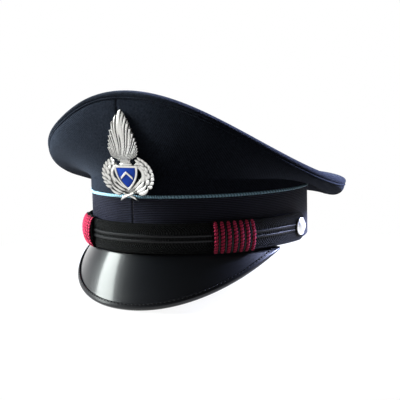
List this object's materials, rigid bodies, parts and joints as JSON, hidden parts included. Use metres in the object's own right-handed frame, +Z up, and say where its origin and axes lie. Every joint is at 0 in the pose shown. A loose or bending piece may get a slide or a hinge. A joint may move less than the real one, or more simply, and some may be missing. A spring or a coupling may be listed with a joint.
{
  "type": "military peaked cap",
  "caption": "Peaked cap with a high flared front, stiff ribbed band, glossy visor, chin strap with corded sliders, domed side buttons and a wreath, plume and shield badge.",
  "frame": {"origin": "centre of the head opening, in the plane of the band's lower edge", "axes": "+Z up, the front with the visor and badge faces -Y, +X is the wearer's left"},
  "size_m": [0.2482, 0.2471, 0.1649],
  "materials": {
    "crown_cloth": "matt wool twill",
    "band_cloth": "matt, fine horizontal ribs",
    "piping_cord": "satin twisted cord",
    "sweat_leather": "matt leather",
    "core_board": "stiff matt board",
    "felt": "matt felt",
    "spring_steel": "bright drawn wire",
    "ferrule_brass": "plain",
    "lining_cloth": "satin lining",
    "clear_film": "clear film",
    "patent_black": "high gloss",
    "visor_underside": "matt",
    "strap_lace": "matt woven lace",
    "crimson_cord": "twisted silk cord",
    "button_silver": "polished",
    "badge_silver": "satin silver plate",
    "blue_enamel": "glossy enamel",
    "fixing_brass": "plain"
  },
  "bodies": {
    "cap": {"band_core": "core_board", "band_cover": "band_cloth", "band_piping": "piping_cord", "sweatband": "sweat_leather", "sweatband_reed": "sweat_leather", "crown_front_left": "crown_cloth", "crown_front_right": "crown_cloth", "crown_rear_left": "crown_cloth", "crown_rear_right": "crown_cloth", "crown_top": "crown_cloth", "edge_roll": "felt", "hoop_wire": "spring_steel", "hoop_ferrule": "ferrule_brass", "front_stay": "core_board", "lining_side": "lining_cloth", "lining_tip": "lining_cloth", "sweat_shield": "clear_film", "visor": "patent_black", "visor_lining": "visor_underside", "visor_binding": "patent_black", "badge_plate": "badge_silver", "badge_wreath": "badge_silver", "badge_plume": "badge_silver", "badge_collar": "badge_silver", "badge_shield": "badge_silver", "badge_enamel": "blue_enamel", "badge_chevron": "badge_silver", "badge_nuts": "fixing_brass"},
    "strap": {"chin_strap": "strap_lace", "strap_cords": "strap_lace"},
    "slider_left": {"slider_left_loop": "strap_lace", "slider_left_cords": "crimson_cord"},
    "slider_right": {"slider_right_loop": "strap_lace", "slider_right_cords": "crimson_cord"},
    "button_left": {"side_button_left": "button_silver", "button_washer_left": "fixing_brass"},
    "button_right": {"side_button_right": "button_silver", "button_washer_right": "fixing_brass"}
  },
  "joints": [
    {"name": "strap_lift", "type": "hinge", "parent": "cap", "child": "strap", "pos_m": [0, 0, 0.0119], "axis": [-1, 0, 0], "range_deg": [0, 3]},
    {"name": "left_slider_slide", "type": "hinge", "parent": "strap", "child": "slider_left", "pos_m": [-0.00863, -0.01276, 0.0119], "axis": [0, 0, 1], "range_deg": [-20, 3]},
    {"name": "right_slider_slide", "type": "hinge", "parent": "strap", "child": "slider_right", "pos_m": [0.00863, -0.01276, 0.0119], "axis": [0, 0, 1], "range_deg": [-12, 11]},
    {"name": "left_button_turn", "type": "hinge", "parent": "cap", "child": "button_left", "pos_m": [0.088, 0, 0.0119], "axis": [1, 0, 0], "continuous": true},
    {"name": "right_button_turn", "type": "hinge", "parent": "cap", "child": "button_right", "pos_m": [-0.088, 0, 0.0119], "axis": [-1, 0, 0], "continuous": true}
  ]
}
